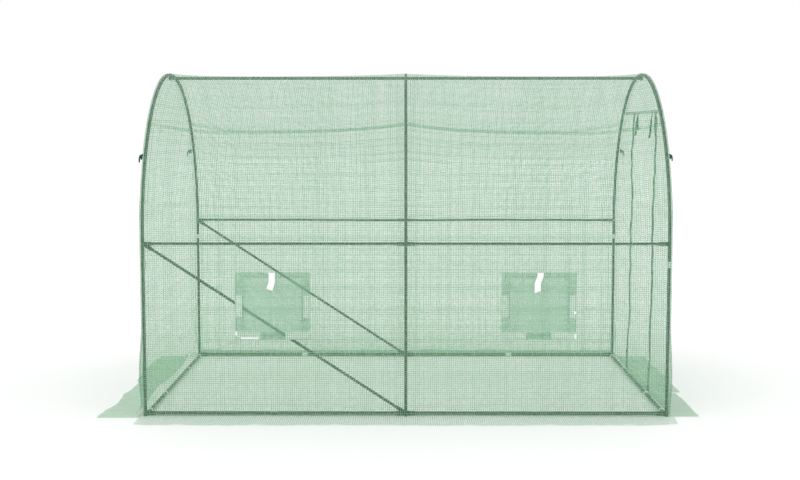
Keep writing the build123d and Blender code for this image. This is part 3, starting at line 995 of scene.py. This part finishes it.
def pull_tab():
    """Flat zip pull with a rounded end and a slot, hanging down from the origin."""
    outline = [(0.0026, 0.0), (0.0034, -0.006), (0.0038, -0.018)]
    outline += [(0.0038 * math.cos(a), -0.020 - 0.0038 * math.sin(a)) for a in np.linspace(0, math.pi / 2, 5)]
    half = np.array(outline)
    ring = np.concatenate([half, (half * [-1, 1])[::-1]])
    slot = ring * [0.48, 0.62] + [0.0, -0.0052]
    levels = ((0.0, 0.97), (0.0004, 1.0), (0.0012, 1.0), (0.0016, 0.97))
    points = [(x * grow, y * grow, height) for height, grow in levels for x, y in ring]
    points += [(x / grow, y, height) for height, grow in levels for x, y in slot]
    count, to_slot = len(ring), len(levels) * len(ring)
    faces = tube_faces(len(levels), count, closed=False)
    faces += [tuple(corner + to_slot for corner in face[::-1]) for face in faces]
    for start, order in ((0, 1), (to_slot - count, -1)):
        for i in range(count):
            here, after = start + i, start + (i + 1) % count
            faces.append((here, here + to_slot, after + to_slot, after)[::order])
    return np.array(points), faces


# ---- door

OUT_OF_DOOR_END = ((0, 1, 0), (0, 0, 1), (1, 0, 0))


def zip_lift(across):
    """The ridge that a zip stands on."""
    return ZIP_RISE * np.cos(np.clip(across / ZIP_WIDTH, -0.5, 0.5) * math.pi) ** 0.8


def coil_point(turn, z):
    x, y, _ = on_end(1, zip_y(turn, z), z, ZIP_RISE + COIL_LIFT)
    return float(x), float(y)


def make_zip(name, turn):
    """One of the door's zips, closed down to its slider. Gives the lines of its stitching."""
    def on_tape(across, z):
        return on_end(1, zip_y(turn, z) + across, z, 0.0010 + zip_lift(across))

    mesh = strip_mesh(ZIP_WIDTH, ZIP_WIDTH / 10, [ZIP_FOOT, DOOR_TOP], 0.012, on_tape)
    flat = (ZIP_WIDTH, DOOR_TOP - ZIP_FOOT)
    make_sheet(f"zip_tape_{name}", mesh, ZIP_TAPE, "zip", flat, "stretched", ["film_door"], "door_zips")

    tooth = box_part((0.0052, 0.0012, 0.0017), 0.72)
    teeth = []
    for index, z in enumerate(np.arange(ZIP_FOOT + 0.004, DOOR_TOP - 0.004, 0.0016)):
        x, y = coil_point(turn, z)
        lean = 1 if index % 2 else -1
        teeth.append(placed(tooth, (x, y + lean * 0.0012, z), OUT_OF_DOOR_END))
    make_object(f"zip_coil_{name}", joined(teeth), ZIP_COIL)

    x, y = coil_point(turn, SLIDER_Z)
    pin = lathe([(0.0012, -0.0032), (0.0014, 0.0), (0.0012, 0.0032)], 8)
    slider = [
        placed(box_part((0.0095, 0.0130, 0.0042), 0.8), (x + 0.0022, y, SLIDER_Z), OUT_OF_DOOR_END),
        placed(box_part((0.0045, 0.0060, 0.0026), 0.7), (x + 0.0054, y, SLIDER_Z + 0.001), OUT_OF_DOOR_END),
        placed(pin, (x + 0.0066, y, SLIDER_Z - 0.003), ((0, 0, 1), (1, 0, 0), (0, 1, 0))),
        placed(pull_tab(), (x + 0.0072, y, SLIDER_Z - 0.004), OUT_OF_DOOR_END),
    ]
    make_object(f"zip_slider_{name}", joined(slider), ZINC)

    lines = []
    heights = np.linspace(ZIP_FOOT, DOOR_TOP, 150)
    for offset in (-0.0095, 0.0095):
        def beside_coil(y, z):
            return on_end(1, zip_y(turn, z) + offset + y, z, 0.0014 + zip_lift(offset))

        lines.append(line_on(beside_coil, np.zeros_like(heights), heights))
    return lines


def make_door_tie(name, face, y, length, lean):
    """A tie hanging from the head of the door, on one face of the wall, leaning to the back."""
    def hanging(across, down):
        share = down / length
        aside = lean * down * (0.35 + 0.65 * share) + 0.003 * np.sin(6.0 * share + 9 * lean)
        twist = (0.9 + 0.35 * face) * ramp(share, 0.05, 0.5)
        off = 0.0022 + 0.002 * share**1.4 + (across + TIE_WIDTH / 2) * np.sin(twist)
        wall = on_end(1, y + aside, DOOR_TOP - down)[0]
        return wall + face * off, y + aside + across * np.cos(twist), DOOR_TOP - 0.004 - down * math.cos(lean)

    mesh = strip_mesh(TIE_WIDTH, 0.003, [0.0, length], 0.004, hanging)
    make_sheet(f"tie_{name}", mesh, DARK, "dark_tape", (TIE_WIDTH, length), "hung", ["film_door_end_top"],
               "door_ties", thickness=(0.0010, 0.0))


def make_door():
    lines = make_zip("front", -1) + make_zip("back", 1)
    make_door_tie("outer_front", 1, -0.415, 0.160, 0.72)
    make_door_tie("outer_back", 1, 0.262, 0.170, 0.52)
    make_door_tie("inner_front", -1, -0.283, 0.186, 0.56)
    make_door_tie("inner_back", -1, 0.208, 0.122, -0.50)
    make_object("door_stitching", joined([stitches(lines)]), THREAD)


# ---- fastenings


def make_knot(name, side, turn, tails):
    """A knotted tape by an end wall's rim. A tail is how far it springs out, drops and goes aside."""
    knot_y = turn * (math.sqrt(HALF_WIDTH**2 - (KNOT_Z - SPRING) ** 2) - 0.020)
    wall_x = float(on_end(side, knot_y, KNOT_Z)[0])
    t = np.linspace(0, 2 * math.pi, 49)
    loop = np.stack([
        side * (np.cos(3 * t) * 0.0034 + 0.0060),
        (np.sin(t) + 2 * np.sin(2 * t)) * 0.0038,
        (np.cos(t) - 2 * np.cos(2 * t)) * 0.0036,
    ], -1)
    facing = np.cross(np.gradient(loop, axis=0), loop - loop.mean(axis=0))
    parts = [swept(loop + np.array([wall_x, knot_y, KNOT_Z]), facing, 0.0085, 0.0044)]
    for out, drop, aside in tails:
        run = np.linspace(0.0, 1.0, 18)
        x = wall_x + side * (0.007 + out * np.sin(run * math.pi * 0.56))
        y = knot_y + aside * run + 0.002 * np.sin(run * 5)
        z = KNOT_Z + 0.002 + 0.010 * np.sin(run * math.pi * 0.8) - drop * run**1.5
        step_x, step_z = np.gradient(x), np.gradient(z)
        reach = np.hypot(step_x, step_z)
        sideways = np.stack([-step_z / reach, 0.45 + 0.25 * run, step_x / reach], -1)
        parts.append(swept(np.stack([x, y, z], -1), sideways, 0.0095, 0.0014))
    smoothed(make_object(f"knot_{name}", joined(parts), DARK, "hoop_ties").data)


def make_knots():
    """One near the rim of each end wall, at each shoulder."""
    make_knot("left_front", -1, -1, ((0.012, 0.046, -0.004), (0.004, 0.030, 0.016)))
    make_knot("left_back", -1, 1, ((0.022, 0.044, 0.004), (0.004, 0.028, -0.022)))
    make_knot("right_front", 1, -1, ((0.010, 0.038, 0.006), (0.004, 0.026, 0.018)))
    make_knot("right_back", 1, 1, ((0.020, 0.048, 0.004), (0.002, 0.034, -0.030)))


def circle(radius, start, end, count):
    return [(radius * math.cos(a), radius * math.sin(a)) for a in np.linspace(start, end, count)]


def cover_strap(centre, out, along, reach, width, wrapped=False, loose=0.0):
    """Strap closed round a tube: out points to the cover, along is the tube's axis.

    A wrapped one goes on round the tube's outer half; loose is the length of the free end beside it.
    """
    radius = TUBE_RADIUS + STRAP_GAP
    out, along = np.array(out), np.array(along)
    up = np.cross(out, along)
    run = np.linspace(reach, 0, 6)[:-1]
    arc = circle(radius, math.pi / 2, 3 * math.pi / 2, 21)
    path = [(x, radius) for x in run] + arc + [(x, -radius) for x in run[::-1]]
    thickness = 0.0013
    bands = [(path, width, thickness), (circle(radius * 1.12, 1.75, 4.0, 16), width * 0.9, thickness)]
    if wrapped:
        bands.append((circle(TUBE_RADIUS + 0.0005, -1.8, 1.8, 25), width, 0.0008))
    if loose:
        free = [(-0.004, -radius), (0.0, -radius - 0.4 * loose), (0.002, -radius - loose)]
        bands.append((free, width, thickness))
    parts = []
    for line, band, thick in bands:
        points = np.array([np.array(centre) + out * u + up * v for u, v in line])
        parts.append(swept(points, np.tile(along, (len(points), 1)), band, thick))
    return parts


def make_cover_ties():
    """Straps sewn to the cover and closed round the tubes."""
    parts = []
    base_y = sum(corner.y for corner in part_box("back_base_rail_left")) / 2
    for side, leg_width, leg_extras, left_x in (
        (-1, 0.038, ({"loose": 0.007}, {"wrapped": True}), -SIDE_STRAP_X - 0.016),
        (1, 0.030, ({}, {}), -SIDE_STRAP_X + 0.0165),
    ):
        out = (0, side, 0)
        for x, extras in zip((-BAY, BAY), leg_extras):
            centre = (x, side * LEG_Y, LEG_STRAP_Z)
            parts += cover_strap(centre, out, (0, 0, 1), HALF_WIDTH - LEG_Y, leg_width, **extras)
        for x in (left_x, SIDE_STRAP_X):
            centre = (x, side * base_y, BASE_Z)
            parts += cover_strap(centre, out, (1, 0, 0), HALF_WIDTH - WALL_SAG - base_y, 0.040)
    rail_x = (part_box("front_base_rail_right")[1].x - 0.013) - TUBE_RADIUS - STRAP_GAP
    for side in (-1, 1):
        for y in END_STRAP_Y:
            centre = (side * rail_x, y, BASE_Z)
            parts += cover_strap(centre, (side, 0, 0), (0, 1, 0), END - 0.0005 - rail_x - 0.012, 0.030)
    make_object("tie_straps", joined(parts), PALE, "cover_ties")


def turned(direction, turn):
    """Three axes, the last along a direction and the others turned about it."""
    first = np.array([1.0, 0.0, 0.0])
    second = np.cross(direction, first)
    across = first * math.cos(turn) + second * math.sin(turn)
    return across, second * math.cos(turn) - first * math.sin(turn), direction


def make_bolts():
    """Nut and washer inside, and a low round head between tube and film."""
    washer_rim = [(0.0060, 0.0), (0.0062, 0.0003), (0.0062, 0.0010), (0.0060, 0.0013)]
    washer = lathe([(0.0033, 0.0), *washer_rim, (0.0033, 0.0013), (0.0033, 0.0)], 28)
    nut_side = [(0.0056, 0.0013), (0.00577, 0.0016), (0.00577, 0.0047), (0.0048, 0.0054), (0.0033, 0.0054)]
    nut = lathe(nut_side, 6, math.pi / 6)
    end = lathe([(0.0030, 0.0), (0.0030, 0.0070), (0.0025, 0.0076)], 20)
    head = [(0.0060, -0.0004), (0.0060, 0.0001), (0.0052, 0.0005), (0.0036, 0.0007), (0.0016, 0.0008)]
    dome = lathe(head, 28)

    # Each bolt as the place of its nut, the place of its head, and the way out
    leg_face = LEG_Y - TUBE_RADIUS - 0.0001
    bolts = []
    for side in (-1, 1):
        for height, tabs in ((RAIL_Z, (2, 2, 1)), (BASE_Z, (2, 3, 2))):
            for x, count in zip((-BAY, 0.0, BAY), tabs):
                nut_place = (x, side * (leg_face - count * TAB), height)
                bolts.append((nut_place, (x, side * (LEG_Y + TUBE_RADIUS), height), (0.0, side, 0.0)))
    for x in (-BAY, 0.0, BAY):
        bolts.append(((x, 0.0, PURLIN_LOW), (x, 0.0, SPRING + LEG_Y + TUBE_RADIUS), (0.0, 0.0, 1.0)))

    inner, heads = [], []
    for number, (inside, outside, outward) in enumerate(bolts):
        outward = np.array(outward)
        inner_axes = turned(-outward, 0.7 * number)
        inner += [placed(piece, inside, inner_axes) for piece in (washer, nut, end)]
        heads.append(placed(dome, outside, turned(outward, 0.0)))
    make_object("bolts", joined(inner), ZINC)
    make_object("bolt_heads", joined(heads), TUBE)


make_stage()
finish_frame()
make_film()
make_skirts()
make_trim()
make_windows()
make_door()
make_knots()
make_cover_ties()
make_bolts()
